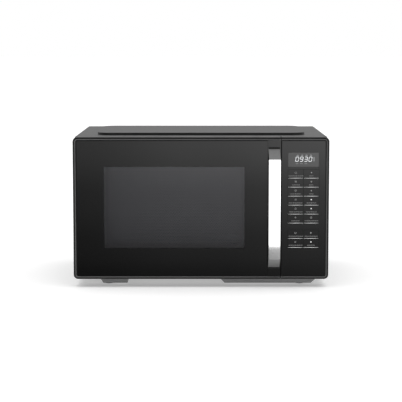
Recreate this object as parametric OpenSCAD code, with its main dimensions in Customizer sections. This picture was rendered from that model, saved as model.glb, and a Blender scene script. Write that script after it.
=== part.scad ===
// Countertop microwave oven with a turntable, a side-hinged door and a push-key control panel.
// Millimetres. The door faces -Y, +X is to the right of someone facing it, +Z is up.
// The origin is on the surface that the oven stands on, under the middle of its bounding box.

/* [Overall size] */
// Width across the door and the control panel
front_w = 483; // [478:0.5:490]
// Height of the door and the control panel
front_h = 269.5; // [266:0.5:275]
// Depth from the front of the door to the rear panel
body_d = 362; // [355:1:390]
// Height of the door's bottom edge above the surface it stands on
floor_gap = 16; // [16:0.5:20]
// Thickness of the door and the control panel
door_t = 34; // [34:0.5:36]
// Width of the wrap-round metal cover
case_w = 480; // [476:0.5:482]
// Height of the raised field pressed into the top of the cover
plateau_h = 4.4; // [2:0.2:8]
// Length of the plastic stubs that keep the oven off a wall
spacer_l = 13; // [8:1:25]

/* [Door] */
// Where the seam between the door and the control panel lies, right of centre
seam_x = 151; // [150.5:0.1:151.5]
// Radius of the front's outer corners
corner_r = 8.5; // [8:0.5:12]
// Width of the window that shows through the glass
window_w = 265; // [220:1:275]
// Height of the window that shows through the glass
window_h = 154.4; // [120:1:160]
// How far the handle stands out from the front of the door
handle_proud = 25; // [22:1:35]
// Width of the handle
handle_w = 21.8; // [18:0.2:23]

/* [Oven cavity] */
// Inside width of the cavity
cavity_w = 324; // [310:1:326]
// Inside height of the cavity
cavity_h = 222; // [210:1:223]
// Gap between the back of the cavity and the rear panel
cavity_back_gap = 15; // [14:1:40]
// Diameter of the glass turntable tray
tray_d = 270; // [245:1:284]

/* [Control panel] */
// Width of each key cap
key_w = 29.1; // [27:0.1:29.2]
// Height of each key cap
key_h = 16.6; // [15:0.1:16.7]
// How far a key travels before its switch bottoms
key_travel = 0.5; // [0.3:0.1:0.6]

/* [Hidden] */
$fn = 48;
sheet = 0.8;
door_gap = 1;
top_z = floor_gap + front_h;
front_y = handle_proud - (handle_proud + body_d + spacer_l) / 2;
door_back_y = front_y + door_t;
plate_y = door_back_y + door_gap;
rear_y = front_y + body_d;
case_x = case_w / 2;
case_corner_r = 3.6;
case_z = floor_gap + 1.2;
base_z = case_z + sheet;
door_x0 = -front_w / 2;
door_x1 = seam_x - 0.5;
panel_x0 = seam_x + 0.5;
panel_x1 = front_w / 2;

// Raised field in the top
plateau_x = 200;
plateau_r = 24;

// Raised rim round the front: rounded outside, bevelled inside, with a groove up to the glass
rim_w = 5.2;
rim_d = 3.8;
rim_edge_r = 3;
rim_bevel = 1.6;
wall_t = 2;
core_inset = 1;
core_r = corner_r - core_inset;
glass_sink = 0.6;
glass_inset = 7.4;
glass_top = top_z - 7;
glass_bottom = floor_gap + 6.4;
glass_r = 1.6;
strip_x = 126;
strip_sink = 1;

// Cavity and the turntable in it
cav_x0 = -48 - cavity_w / 2;
cav_x1 = cav_x0 + cavity_w;
cav_z0 = 40;
cav_z1 = cav_z0 + cavity_h;
cav_y1 = rear_y - cavity_back_gap;
cav_corner_r = 8;
table_x = -48;
table_y = 16;
dish_r = 128;
dish_z = cav_z0 - 2.5;
roller_r = 7.7;
roller_track_r = 97;
roller_w = 7;
roller_z = dish_z + roller_r + 0.3;
tray_z = roller_z + roller_r + 0.3;
coupler_pin_r = 3.5;

// Window in the door, left of centre
window_x0 = door_x0 + 58.5;
window_x1 = window_x0 + window_w;
window_z1 = top_z - 56;
window_z0 = window_z1 - window_h;

// Door hinges: a vertical axis near the left edge
hinge_x = door_x0 + 7.5;
hinge_y = plate_y - 17;
hinge_pin_r = 2.5;
hinge_half_w = 3.9;
hinge_t = 2.5;
hinge_swing = 2.4;
hinge_zs = [31, 269];

// Steel door plate with its choke channel
choke_w = 14;
choke_y = front_y + 14;
centre_y = front_y + 29;
pocket_grow = choke_w + 3.4;

// Latch in the door's right stile
latch_x = 137.5;
latch_t = 5;
latch_z0 = 70;
latch_z1 = 226;
latch_travel = 5;
latch_y0 = front_y + 14;
latch_y1 = front_y + 28;
latch_tip_y = plate_y + 22;
latch_hook_zs = [92, 206];
latch_wall_y = front_y + 30;

// Handle, a bow with sloped ends
handle_x = 137.7;
handle_z1 = top_z - 21.4;
handle_z0 = floor_gap + 22.8;
handle_ramp = 19;
trim_t = 1.5;
bar_t = 9;

// Keys: two columns, a block of six rows and a block of two
key_t = 2.4;
key_margin = 0.3;
key_column_xs = [178.35, 207.85];
key_row_drops = [77.6, 94.64, 111.68, 128.72, 145.76, 162.8, 192, 209.2];
key_blocks = [[0, 5], [6, 7]];
board_y = front_y + 14;
board_t = 1.6;
switch_tip_y = board_y - 6.1;
display_x0 = 164;
display_x1 = 221.6;
display_z1 = top_z - 28.9;
display_z0 = top_z - 55.7;

// Electrical compartment, right of the cavity
guide_x0 = cav_x1 + sheet;
guide_x1 = guide_x0 + 37;
guide_y = [-75, 75];
guide_z = [180, 240];
tube_y = 30;
tube_z = 208;
fan_x = 176;
fan_z = 208;
fan_r = 50;
fan_bore_r = 54;
fan_shaft_r = 2;
gland_x = 205;
gland_z = 45;
gland_bore_r = 3.75;

// Base plate and feet
pan_z = 3;
pan_right = [31, 45, 211, 228];
pan_left = [-197, -188, -141, -140];
foot_xs = [-178, 190];
foot_ys = [-118, 130];
foot_r = 8.5;
screw_places = [[-226, 268], [226, 268], [0, 276], [-226, 120], [226, 120], [-120, 28], [120, 28]];
spacer_places = [[-150, 236], [60, 236]];

black_paint = [0.10, 0.10, 0.11];
door_black = [0.07, 0.07, 0.08];
zinc = [0.70, 0.71, 0.72];
dark_plastic = [0.13, 0.13, 0.14];
enamel = [0.58, 0.59, 0.60];

// ---- Helpers ----

// Extrudes a shape drawn in X and Z along Y
module along_y(y0, y1) {
    translate([0, y1, 0]) rotate([90, 0, 0]) linear_extrude(y1 - y0) children();
}

// Extrudes a shape drawn in Y and Z along X
module along_x(x0, x1) {
    translate([x0, 0, 0]) rotate([90, 0, 90]) linear_extrude(x1 - x0) children();
}

// Extrudes a shape drawn in X and Y along Z
module along_z(z0, z1) {
    translate([0, 0, z0]) linear_extrude(z1 - z0) children();
}

// A box between two corners
module block(low, high) {
    translate(low) cube(high - low);
}

// A round bar or hole along Y, between two depths
module rod_y(x, z, y0, y1, r) {
    translate([x, y1, z]) rotate([90, 0, 0]) cylinder(h = y1 - y0, r = r);
}

// A round bar or hole along X
module rod_x(y, z, x0, x1, r) {
    translate([x0, y, z]) rotate([0, 90, 0]) cylinder(h = x1 - x0, r = r);
}

// What a corner of radius r loses
module corner_waste(r) {
    difference() {
        translate([-1, -1]) square(r + 1);
        translate([r, r]) circle(r);
    }
}

// A rectangle from (a, b) to (c, d), with the radius of each corner
module outline(a, b, c, d, bl = 0, br = 0, tr = 0, tl = 0) {
    difference() {
        translate([a, b]) square([c - a, d - b]);
        if (bl > 0) translate([a, b]) corner_waste(bl);
        if (br > 0) translate([c, b]) mirror([1, 0]) corner_waste(br);
        if (tr > 0) translate([c, d]) rotate(180) corner_waste(tr);
        if (tl > 0) translate([a, d]) mirror([0, 1]) corner_waste(tl);
    }
}

// The cavity's mouth, grown outwards or, with a negative value, inwards
module mouth(grow, r = 0) {
    outline(cav_x0 - grow, cav_z0 - grow, cav_x1 + grow, cav_z1 + grow, r, r, r, r);
}

// A ring that follows the cavity's mouth
module mouth_ring(outer, inner, r = 0) {
    difference() {
        mouth(outer, r);
        mouth(inner, max(0, r - outer + inner));
    }
}

// Cross-section of the front rim and the outer wall: x is the distance in, y the depth
module rim_profile(depth) {
    difference() {
        union() {
            square([rim_w, rim_d + 0.7]);
            square([wall_t, depth]);
        }
        corner_waste(rim_edge_r);
        polygon([[rim_w - rim_bevel, -1], [rim_w + 1, -1], [rim_w + 1, rim_bevel],
            [rim_w, rim_bevel], [rim_w - rim_bevel, 0]]);
    }
}

// The rim along the top, the left side and the bottom, ending square at the seam
module rim(seam, depth) {
    along_x(door_x0 + corner_r, seam) {
        translate([front_y, top_z]) rotate(-90) rim_profile(depth);
        translate([front_y, floor_gap]) mirror([1, -1]) rim_profile(depth);
    }
    along_z(floor_gap + corner_r, top_z - corner_r)
        translate([door_x0, front_y]) rim_profile(depth);
    for (corner = [[top_z - corner_r, 180], [floor_gap + corner_r, 90]])
        translate([door_x0 + corner_r, front_y, corner[0]])
            rotate([-90, 0, 0]) rotate(corner[1]) rotate_extrude(angle = 90)
                translate([corner_r, 0]) mirror([1, 0]) rim_profile(depth);
}

// ---- Cabinet ----

// The cabinet's section, drawn in X and Z and shrunk by a wall
module case_section(wall) {
    r = case_corner_r - wall;
    outline(-case_x + wall, case_z + wall, case_x - wall, top_z - wall, 0, 0, r, r);
}

// The raised field in the cover's top, drawn in X and Y
module plateau(wall) {
    r = plateau_r - wall;
    outline(-plateau_x + wall, front_y + 68 + wall, plateau_x - wall, front_y + 308 - wall, r, r, r, r);
}

module outer_cover() {
    y0 = plate_y + sheet;
    color(black_paint) difference() {
        union() {
            along_y(y0, rear_y) case_section(0);
            along_z(top_z - sheet, top_z + plateau_h) plateau(0);
        }
        along_y(y0 - 1, rear_y + 1) case_section(sheet);
        along_z(top_z - 2 * sheet, top_z + plateau_h - sheet) plateau(sheet);
        block([-case_x + 9, y0 - 1, case_z - 1], [case_x - 9, rear_y + 1, case_z + 2]);
        for (i = [0:9]) {
            block([case_x - 3, -20 + 9 * i, 70], [case_x + 1, -16.5 + 9 * i, 92]);
            block([case_x - 3, -20 + 9 * i, 100], [case_x + 1, -16.5 + 9 * i, 122]);
            block([-case_x - 1, 60 + 9 * i, 200], [-case_x + 3, 63.5 + 9 * i, 222]);
        }
    }
}

module rear_panel() {
    color(black_paint) difference() {
        along_y(rear_y - 9, rear_y) intersection() {
            case_section(sheet);
            translate([-case_x, base_z + sheet]) square([case_w, front_h]);
        }
        along_y(rear_y - 10, rear_y - sheet) intersection() {
            case_section(2 * sheet);
            translate([-case_x, base_z + 2 * sheet]) square([case_w, front_h]);
        }
        for (i = [-6:6], j = [-6:6])
            if (norm([i, j]) < 5.8)
                rod_y(fan_x + 8 * i, fan_z + 8 * j, rear_y - 2, rear_y + 1, 2.6);
        for (i = [0:11])
            block([-208 + 9 * i, rear_y - 2, 60], [-204.5 + 9 * i, rear_y + 1, 84]);
        for (p = screw_places) rod_y(p[0], p[1], rear_y - 2, rear_y + 1, 2.1);
        for (p = spacer_places) rod_y(p[0], p[1], rear_y - 2, rear_y + 1, 3.1);
        rod_y(gland_x, gland_z, rear_y - 2, rear_y + 1, 8);
    }
}

// A pan pressed down from the base plate; x lists top left, bottom left, bottom right, top right
module pan(x, y0, y1, wall) {
    along_y(y0 + wall, y1 - wall) polygon([
        [x[0] + wall, base_z + wall],
        [x[1] + wall, pan_z + wall],
        [x[2] - wall, pan_z + wall],
        [x[3] - wall, base_z + wall]]);
}

module base_plate() {
    pans = [[pan_right, plate_y + 2, 160], [pan_left, plate_y + 2, -88], [pan_left, 100, 160]];
    color(zinc) difference() {
        union() {
            block([-case_x + sheet, plate_y + sheet, base_z],
                [case_x - sheet, rear_y - sheet, base_z + sheet]);
            for (p = pans) pan(p[0], p[1], p[2], 0);
        }
        for (p = pans) pan(p[0], p[1], p[2], sheet);
        for (x = foot_xs, y = foot_ys)
            translate([x, y, 0]) cylinder(h = 10, r = 3);
        for (i = [0:7])
            block([-150 + 12 * i, 60, base_z - 1], [-146 + 12 * i, 90, base_z + 2]);
    }
}

module feet() {
    color(dark_plastic) for (x = foot_xs, y = foot_ys) translate([x, y, 0]) {
        rotate_extrude() outline(0, 0, foot_r, pan_z, 0, 1.6);
        translate([0, 0, pan_z - 0.5]) cylinder(h = 4, r = 2.95);
    }
}

module front_plate() {
    color(black_paint) difference() {
        along_y(plate_y, plate_y + 9) case_section(0);
        along_y(plate_y + sheet, plate_y + 10) case_section(2 * sheet);
        difference() {
            along_y(plate_y + sheet, plate_y + 10) case_section(-2);
            along_y(plate_y, plate_y + 11) case_section(sheet);
        }
        along_y(plate_y - 1, plate_y + 2) mouth(0, cav_corner_r);
        along_y(plate_y - 1, plate_y + 2) {
            outline(162, 60, 231, 244, 4, 4, 4, 4);
            for (z = latch_hook_zs) outline(132.5, z - 5.5, 143.5, z + 15, 1, 1, 1, 1);
            for (z = hinge_zs)
                translate([hinge_x - 4.1, z - hinge_t / 2 - 0.3]) square([8.2, hinge_t + 0.6]);
        }
        block([-case_x - 1, plate_y + sheet, case_z - 1], [case_x + 1, plate_y + 10, base_z + sheet]);
    }
}

module cavity_liner() {
    y0 = plate_y + sheet;
    color(enamel) difference() {
        union() {
            along_y(y0, cav_y1 + sheet) mouth(sheet, cav_corner_r + sheet);
            along_y(y0, y0 + sheet) mouth(6, cav_corner_r + 6);
            translate([table_x, table_y, dish_z - sheet]) cylinder(h = 3, r = dish_r + sheet, $fn = 96);
        }
        along_y(y0 - 1, cav_y1) mouth(0, cav_corner_r);
        translate([table_x, table_y, dish_z]) cylinder(h = 10, r = dish_r, $fn = 96);
        translate([table_x, table_y, 20]) cylinder(h = 40, r = 7);
        block([cav_x1 - 1, guide_y[0] + 10, 190], [cav_x1 + 2, -15, 230]);
        for (i = [0:4], j = [0:4]) rod_x(86 + 5 * i, 232 + 5 * j, cav_x1 - 1, cav_x1 + 2, 1.5);
        for (i = [0:11], j = [0:3])
            rod_x(60 + 6 * i, 222 + 6 * j, cav_x0 - 2, cav_x0 + 1, 1.8);
    }
}

module cover_screws() {
    color("silver") for (p = screw_places) difference() {
        union() {
            rod_y(p[0], p[1], rear_y - 7, rear_y, 2);
            rod_y(p[0], p[1], rear_y, rear_y + 0.8, 4.6);
            rod_y(p[0], p[1], rear_y, rear_y + 2.6, 3.4);
        }
        for (turn = [0, 90])
            translate([p[0], rear_y + 2.6, p[1]]) rotate([0, turn, 0])
                cube([4.2, 2.4, 0.9], center = true);
    }
}

module rear_spacers() {
    color(dark_plastic) for (p = spacer_places) {
        rod_y(p[0], p[1], rear_y - 4, rear_y, 3);
        translate([p[0], rear_y, p[1]]) rotate([-90, 0, 0])
            rotate_extrude() outline(0, 0, 9, spacer_l, 0, 0, 2);
    }
}

module cord_gland() {
    color(dark_plastic) difference() {
        union() {
            rod_y(gland_x, gland_z, rear_y - 6, rear_y, 7.9);
            rod_y(gland_x, gland_z, rear_y, rear_y + 3, 11);
            rod_y(gland_x, gland_z, rear_y - 8, rear_y - sheet - 0.1, 9.5);
        }
        rod_y(gland_x, gland_z, rear_y - 9, rear_y + 4, gland_bore_r);
    }
}

// ---- Microwave source and power supply ----

module waveguide() {
    color(zinc) difference() {
        block([guide_x0, guide_y[0], guide_z[0]], [guide_x1, guide_y[1], guide_z[1]]);
        block([guide_x0 - 1, guide_y[0] + 1, guide_z[0] + 1],
            [guide_x1 - 1, guide_y[1] - 1, guide_z[1] - 1]);
        rod_x(tube_y, tube_z, guide_x1 - 2, guide_x1 + 1, 11);
    }
}

module waveguide_cover() {
    color([0.80, 0.76, 0.66]) block([cav_x1 - 0.7, -80, 176], [cav_x1 - 0.1, 0, 244]);
}

module magnetron_yoke() {
    x0 = guide_x1 + 2;
    color(zinc) {
        difference() {
            block([x0, tube_y - 45, tube_z - 40], [x0 + 52, tube_y + 45, tube_z + 40]);
            block([x0 + 1.6, tube_y - 46, tube_z - 38.4], [x0 + 50.4, tube_y + 46, tube_z + 38.4]);
            rod_x(tube_y, tube_z, x0 - 1, x0 + 10, 12);
            rod_x(tube_y, tube_z, x0 + 45, x0 + 53, 10);
        }
        block([x0 + 52, tube_y - 32, tube_z - 27], [x0 + 78, tube_y + 32, tube_z + 27]);
    }
}

module magnetron_anode() {
    x0 = guide_x1 + 2;
    color([0.72, 0.45, 0.30]) {
        rod_x(tube_y, tube_z, x0 + 6, x0 + 46, 18);
        rod_x(tube_y, tube_z, x0 - 26, x0 + 7, 7.5);
        rod_x(tube_y, tube_z, x0 - 3, x0 + 7, 9.5);
        for (i = [0:6])
            block([x0 + 8 + 6 * i, tube_y - 40, tube_z - 36],
                [x0 + 8.8 + 6 * i, tube_y + 40, tube_z + 36]);
    }
}

module transformer_core() {
    z0 = pan_z + sheet;
    color([0.35, 0.36, 0.38]) difference() {
        block([118, 20, z0], [203, 70, z0 + 74]);
        for (x = [132, 174]) block([x, 19, z0 + 14], [x + 15, 71, z0 + 60]);
    }
}

module transformer_windings() {
    z0 = pan_z + sheet;
    color([0.75, 0.42, 0.20]) for (z = [[z0 + 14.5, z0 + 35], [z0 + 38, z0 + 59.5]]) difference() {
        along_z(z[0], z[1]) outline(132.3, 4, 188.7, 86, 10, 10, 10, 10);
        along_z(z[0] - 1, z[1] + 1) outline(147, 20, 174, 70);
    }
}

module hv_capacitor() {
    z0 = pan_z + sheet;
    color("silver") {
        along_z(z0, z0 + 90) outline(128, 106, 182, 140, 16.9, 16.9, 16.9, 16.9);
        for (x = [146, 164]) translate([x, 123, z0 + 89]) cylinder(h = 12, r = 4);
    }
}

module fan_shroud() {
    color(dark_plastic) difference() {
        block([fan_x - 58, 150, fan_z - 58], [fan_x + 58, rear_y - 10, fan_z + 58]);
        rod_y(fan_x, fan_z, 154, rear_y, fan_bore_r);
        for (side = [-1, 1]) {
            rod_y(fan_x + side * 27, fan_z + 27, 149, 155, 15);
            rod_y(fan_x + side * 27, fan_z - 27, 149, 155, 15);
        }
        rod_y(fan_x, fan_z, 149, 155, 5);
    }
}

module fan_motor() {
    color(zinc) difference() {
        union() {
            block([fan_x - 22, 120, fan_z - 26], [fan_x + 22, 140, fan_z + 18]);
            rod_y(fan_x, fan_z, 112, 150, 12);
        }
        rod_y(fan_x, fan_z, 128, 151, fan_shaft_r + 0.06);
    }
}

module fan_blade() {
    blade_y = 163;
    color([0.85, 0.86, 0.86]) {
        rod_y(fan_x, fan_z, 130, blade_y, fan_shaft_r);
        rod_y(fan_x, fan_z, blade_y - 7, blade_y + 8, 13);
        intersection() {
            rod_y(fan_x, fan_z, blade_y - 8, blade_y + 9, fan_r);
            for (i = [0:4])
                translate([fan_x, blade_y, fan_z]) rotate([0, 72 * i, 0]) translate([0, 0, 10])
                    rotate([0, 0, 24]) translate([-15, -0.7, 0]) cube([30, 1.4, 45]);
        }
    }
}

module turntable_motor() {
    z1 = dish_z - sheet - 0.2;
    color(zinc) difference() {
        union() {
            translate([table_x, table_y, base_z + sheet]) cylinder(h = z1 - base_z - sheet, r = 24.5);
            along_z(z1 - 1.2, z1)
                outline(table_x - 32, table_y - 6, table_x + 32, table_y + 6, 5, 5, 5, 5);
        }
        translate([table_x, table_y, 24]) cylinder(h = 20, r = coupler_pin_r + 0.06);
    }
}

module cavity_lamp() {
    x = cav_x1 + sheet;
    color([0.9, 0.88, 0.8]) {
        difference() {
            block([x + 3, 84, 228], [x + 28, 108, 256]);
            block([x + 2, 86, 230], [x + 20, 106, 254]);
        }
        rod_x(96, 242, x + 12, x + 22, 5);
        translate([x + 11, 96, 242]) sphere(r = 7);
    }
}

module interlock_bracket() {
    x0 = 144.5;
    y0 = plate_y + sheet;
    color([0.85, 0.85, 0.83]) {
        block([x0, y0, 74], [x0 + 2.5, y0 + 39, 236]);
        block([x0, y0, 74], [x0 + 7, y0 + 2, 236]);
        for (z = latch_hook_zs) {
            block([130, y0 + 5, z - 12], [x0 + 1, y0 + 29, z - 9]);
            block([132, y0 + 6, z - 10], [x0 + 1, y0 + 14, z - 4.4]);
        }
    }
}

module microswitches() {
    color("dimgray") for (z = [88, 146, 198]) {
        block([147.2, plate_y + 10, z], [157.2, plate_y + 26, z + 28]);
        block([149, plate_y + 26, z + 4], [155, plate_y + 31, z + 8]);
        block([149, plate_y + 26, z + 18], [155, plate_y + 31, z + 22]);
    }
}

// ---- Control panel ----

function key_z0(row) = top_z - key_row_drops[row];

module panel_housing() {
    color(door_black) difference() {
        union() {
            mirror([1, 0, 0]) rim(-panel_x0, plate_y - front_y);
            along_y(front_y + glass_sink + key_t, plate_y)
                outline(panel_x0, floor_gap + core_inset, panel_x1 - core_inset, top_z - core_inset,
                    0, core_r, core_r, 0);
        }
        along_y(front_y + 6, plate_y + 1)
            outline(panel_x0 + 3, floor_gap + 4, panel_x1 - 3, top_z - 4, 0, 6, 6, 0);
        along_y(front_y, front_y + 7) outline(162, 72, 224, 260);
    }
}

module panel_fascia() {
    color(door_black) difference() {
        along_y(front_y + glass_sink, front_y + glass_sink + key_t)
            outline(panel_x0 + 0.8, glass_bottom, panel_x1 - glass_inset, glass_top,
                0, glass_r, glass_r, 0);
        along_y(front_y, front_y + 4) {
            outline(display_x0, display_z0, display_x1, display_z1, 1, 1, 1, 1);
            for (b = key_blocks)
                outline(key_column_xs[0] - key_w / 2 - key_margin, key_z0(b[1]) - key_margin,
                    key_column_xs[1] + key_w / 2 + key_margin, key_z0(b[0]) + key_h + key_margin);
        }
    }
}

module display_window() {
    color([0.2, 0.2, 0.22]) along_y(front_y + glass_sink, front_y + glass_sink + key_t)
        outline(display_x0 + 0.1, display_z0 + 0.1, display_x1 - 0.1, display_z1 - 0.1, 1, 1, 1, 1);
}

module control_board() {
    mid_z = (display_z0 + display_z1) / 2;
    color([0.10, 0.32, 0.18]) block([158, board_y, 48], [232, board_y + board_t, 268]);
    color([0.05, 0.05, 0.06]) block([167, front_y + 4, mid_z - 11], [219, board_y, mid_z + 11]);
    color("dimgray") for (x = key_column_xs, row = [0:7]) {
        z = key_z0(row) + key_h / 2;
        block([x - 3, board_y - 4, z - 3], [x + 3, board_y, z + 3]);
        rod_y(x, z, switch_tip_y, board_y - 3.9, 1.7);
    }
    color([0.8, 0.75, 0.3]) block([170, board_y + board_t, 150], [212, board_y + board_t + 30, 186]);
    color([0.1, 0.3, 0.6]) for (z = [80, 104])
        block([172, board_y + board_t, z], [200, board_y + board_t + 16, z + 14]);
}

// A key cap with the stem that presses its switch
module key(column, row) {
    x = key_column_xs[column];
    z = key_z0(row);
    back = front_y + glass_sink + key_t;
    color(door_black) {
        along_y(front_y + glass_sink, back)
            outline(x - key_w / 2, z, x + key_w / 2, z + key_h, 0.6, 0.6, 0.6, 0.6);
        rod_y(x, z + key_h / 2, back - 0.5, switch_tip_y - key_travel - 0.2, 2.6);
    }
}

// ---- Door ----

module door_hinges() {
    y1 = plate_y + sheet;
    color(zinc) for (z = hinge_zs) {
        along_z(z - hinge_t / 2, z + hinge_t / 2) {
            translate([hinge_x - hinge_half_w, hinge_y]) square([2 * hinge_half_w, y1 + 1 - hinge_y]);
            translate([hinge_x, hinge_y]) circle(hinge_half_w);
        }
        translate([hinge_x, hinge_y, z - 7]) cylinder(h = 14, r = hinge_pin_r);
        block([hinge_x - hinge_half_w, y1, z - 9], [hinge_x + 15, y1 + 1.6, z + 9]);
    }
}

module door_frame() {
    back = door_back_y + 1;
    clear_r = plate_y - hinge_y - 0.7;
    color(door_black) difference() {
        union() {
            rim(door_x1, door_t);
            along_y(front_y + rim_d, door_back_y)
                outline(door_x0 + core_inset, floor_gap + core_inset, door_x1, top_z - core_inset,
                    core_r, 0, 0, core_r);
            block([strip_x, front_y + strip_sink, floor_gap + rim_w],
                [door_x1, front_y + rim_d, top_z - rim_w]);
        }
        along_y(front_y, back) outline(window_x0 - 6, window_z0 - 6, window_x1 + 6, window_z1 + 6);
        along_y(front_y + 8, back) mouth(pocket_grow);
        for (z = hinge_zs) {
            translate([hinge_x, hinge_y, z - 7.6]) cylinder(h = 15.2, r = hinge_pin_r + 0.08);
            block([door_x0 - 1, hinge_y - hinge_half_w - hinge_swing, z - hinge_t / 2 - 0.5],
                [hinge_x + hinge_half_w + 0.5, back, z + hinge_t / 2 + 0.5]);
        }
        difference() {
            block([door_x0 - 1, hinge_y, floor_gap - 1], [hinge_x, back, top_z + 1]);
            translate([hinge_x, hinge_y, floor_gap - 2]) cylinder(h = front_h + 4, r = clear_r);
        }
        block([latch_x - latch_t / 2 - 0.4, latch_y0 - 0.6, latch_z0 - 1],
            [latch_x + latch_t / 2 + 0.4, latch_wall_y, latch_z1 + 20]);
        for (z = latch_hook_zs)
            block([latch_x - latch_t / 2 - 0.4, latch_wall_y - 1, z - 0.5],
                [latch_x + latch_t / 2 + 0.4, back, z + 8 + latch_travel + 0.5]);
    }
}

module door_glass() {
    color([0.05, 0.05, 0.06, 0.9]) along_y(front_y + glass_sink, front_y + rim_d)
        outline(door_x0 + glass_inset, glass_bottom, strip_x - 0.4, glass_top, glass_r, 0, 0, glass_r);
}

module door_plate() {
    color(zinc) difference() {
        union() {
            along_y(centre_y, centre_y + sheet) mouth(0);
            along_y(choke_y, centre_y + sheet) mouth_ring(0, -sheet);
            along_y(choke_y, choke_y + sheet) mouth_ring(choke_w, -sheet);
            along_y(choke_y, front_y + 32) mouth_ring(choke_w, choke_w - sheet);
        }
        along_y(centre_y - 1, centre_y + 2)
            outline(window_x0 - 4, window_z0 - 4, window_x1 + 4, window_z1 + 4, 6, 6, 6, 6);
    }
}

module door_screen() {
    color([0.25, 0.25, 0.27]) along_y(centre_y - 0.6, centre_y)
        outline(window_x0 - 9, window_z0 - 9, window_x1 + 9, window_z1 + 9, 6, 6, 6, 6);
}

module choke_cover() {
    color(dark_plastic) difference() {
        union() {
            along_y(front_y + 32, door_back_y - 0.2) mouth(choke_w + 3, 5);
            along_y(front_y + 24, front_y + 33) mouth_ring(choke_w - 3, choke_w - 5);
        }
        along_y(front_y + 20, door_back_y + 1) mouth(-12, 4);
    }
}

module inner_window() {
    color([0.8, 0.85, 0.85, 0.4]) along_y(centre_y + sheet + 0.1, centre_y + sheet + 0.6) mouth(-4, 4);
}

// The handle's side view in Y and Z: a flat bow with sloped ends, set back by a depth
module bow(back) {
    y1 = front_y + back;
    y0 = y1 - handle_proud;
    polygon([[y1, handle_z0], [y0, handle_z0 + handle_ramp],
        [y0, handle_z1 - handle_ramp], [y1, handle_z1]]);
}

module handle_trim() {
    color([0.9, 0.9, 0.92]) along_x(handle_x - handle_w / 2, handle_x + handle_w / 2) intersection() {
        difference() {
            bow(0);
            bow(trim_t);
        }
        translate([front_y - 50, 0]) square([50, top_z]);
    }
}

module handle_body() {
    x0 = handle_x - handle_w / 2 + 0.4;
    x1 = handle_x + handle_w / 2 - 0.4;
    gap_y = front_y - handle_proud + bar_t;
    foot_y = front_y + strip_sink;
    color(dark_plastic) difference() {
        union() {
            along_x(x0, x1) bow(trim_t);
            for (z = [handle_z0 - 2.6, handle_z1 - 15])
                block([x0, front_y - 1.2, z], [x1, foot_y + 1, z + 17.6]);
        }
        block([x0 - 1, foot_y, 0], [x1 + 1, foot_y + 5, top_z]);
        along_x(x0 - 1, x1 + 1) {
            difference() {
                bow(0);
                bow(trim_t);
            }
            polygon([[foot_y + 1, handle_z0 + 17], [gap_y, handle_z0 + 28],
                [gap_y, handle_z1 - 28], [foot_y + 1, handle_z1 - 17]]);
        }
    }
}

// The hooked end of a latch arm, drawn in Y and Z
module hook_profile(z) {
    polygon([[latch_y1 - 1, z], [latch_tip_y - 6, z], [latch_tip_y - 6, z - 4],
        [latch_tip_y - 3, z - 4],
        [latch_tip_y, z + 2], [latch_tip_y, z + 8], [latch_y1 - 1, z + 8]]);
}

module latch_hooks() {
    color([0.88, 0.88, 0.86]) along_x(latch_x - latch_t / 2, latch_x + latch_t / 2) {
        translate([latch_y0, latch_z0]) square([latch_y1 - latch_y0, latch_z1 - latch_z0]);
        for (z = latch_hook_zs) hook_profile(z);
    }
}

// Helical return spring on top of the latch
module latch_spring() {
    wire_r = 0.4;
    coil_r = 1.9;
    turns = 7;
    steps = 12;
    sides = 6;
    low = latch_z1 + wire_r + 0.1;
    high = latch_z1 + 20 - wire_r - 0.1;
    rings = turns * steps;
    points = [for (i = [0:rings], j = [0:sides - 1])
        let (a = 360 * i / steps, b = 360 * j / sides, r = coil_r + wire_r * cos(b))
            [latch_x + r * cos(a), (latch_y0 + latch_y1) / 2 + r * sin(a),
                low + (high - low) * i / rings + wire_r * sin(b)]];
    walls = [for (i = [0:rings - 1], j = [0:sides - 1])
        let (k = (j + 1) % sides)
            [i * sides + j, (i + 1) * sides + j, (i + 1) * sides + k, i * sides + k]];
    ends = [[for (j = [0:sides - 1]) j], [for (j = [sides - 1:-1:0]) rings * sides + j]];
    color("silver") polyhedron(points, concat(walls, ends));
}

// ---- Turntable ----

module drive_coupler() {
    color([0.75, 0.75, 0.72]) translate([table_x, table_y, 0]) {
        translate([0, 0, 25]) cylinder(h = 15, r = coupler_pin_r);
        translate([0, 0, dish_z - sheet + 0.3]) cylinder(h = 8, r = 6);
        translate([0, 0, dish_z + 3]) cylinder(h = tray_z - dish_z - 4.5, r = 10);
        for (turn = [90, 210, 330]) rotate(turn)
            translate([0, -3.5, dish_z + 5]) cube([19, 7, tray_z - dish_z - 6.5]);
    }
}

module glass_tray() {
    r = tray_d / 2;
    color([0.8, 0.88, 0.86, 0.45]) translate([table_x, table_y, tray_z]) {
        rotate_extrude($fn = 96) polygon([[0, 0], [r - 24, 0], [r - 14, 2.4], [r - 4, 9], [r, 13],
            [r - 0.8, 14.6], [r - 3, 14], [r - 8, 10.4], [r - 16, 6.6], [r - 25, 4.6], [0, 4.6]]);
        for (turn = [30, 150, 270]) rotate(turn) translate([13, -3, -6]) cube([5, 6, 7]);
    }
}

module roller_ring() {
    color([0.82, 0.82, 0.80]) translate([table_x, table_y, 0]) {
        difference() {
            translate([0, 0, roller_z - 3.5]) cylinder(h = 7, r = 92, $fn = 96);
            translate([0, 0, roller_z - 4]) cylinder(h = 8, r = 86, $fn = 96);
        }
        for (i = [0:2]) rotate(30 + 120 * i) {
            wheel_x = roller_track_r + roller_w / 2;
            rod_x(0, roller_z, 90, wheel_x + 0.6, 2.4);
            rod_x(0, roller_z, wheel_x + 0.3, wheel_x + 1.8, 3.6);
        }
    }
}

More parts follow.
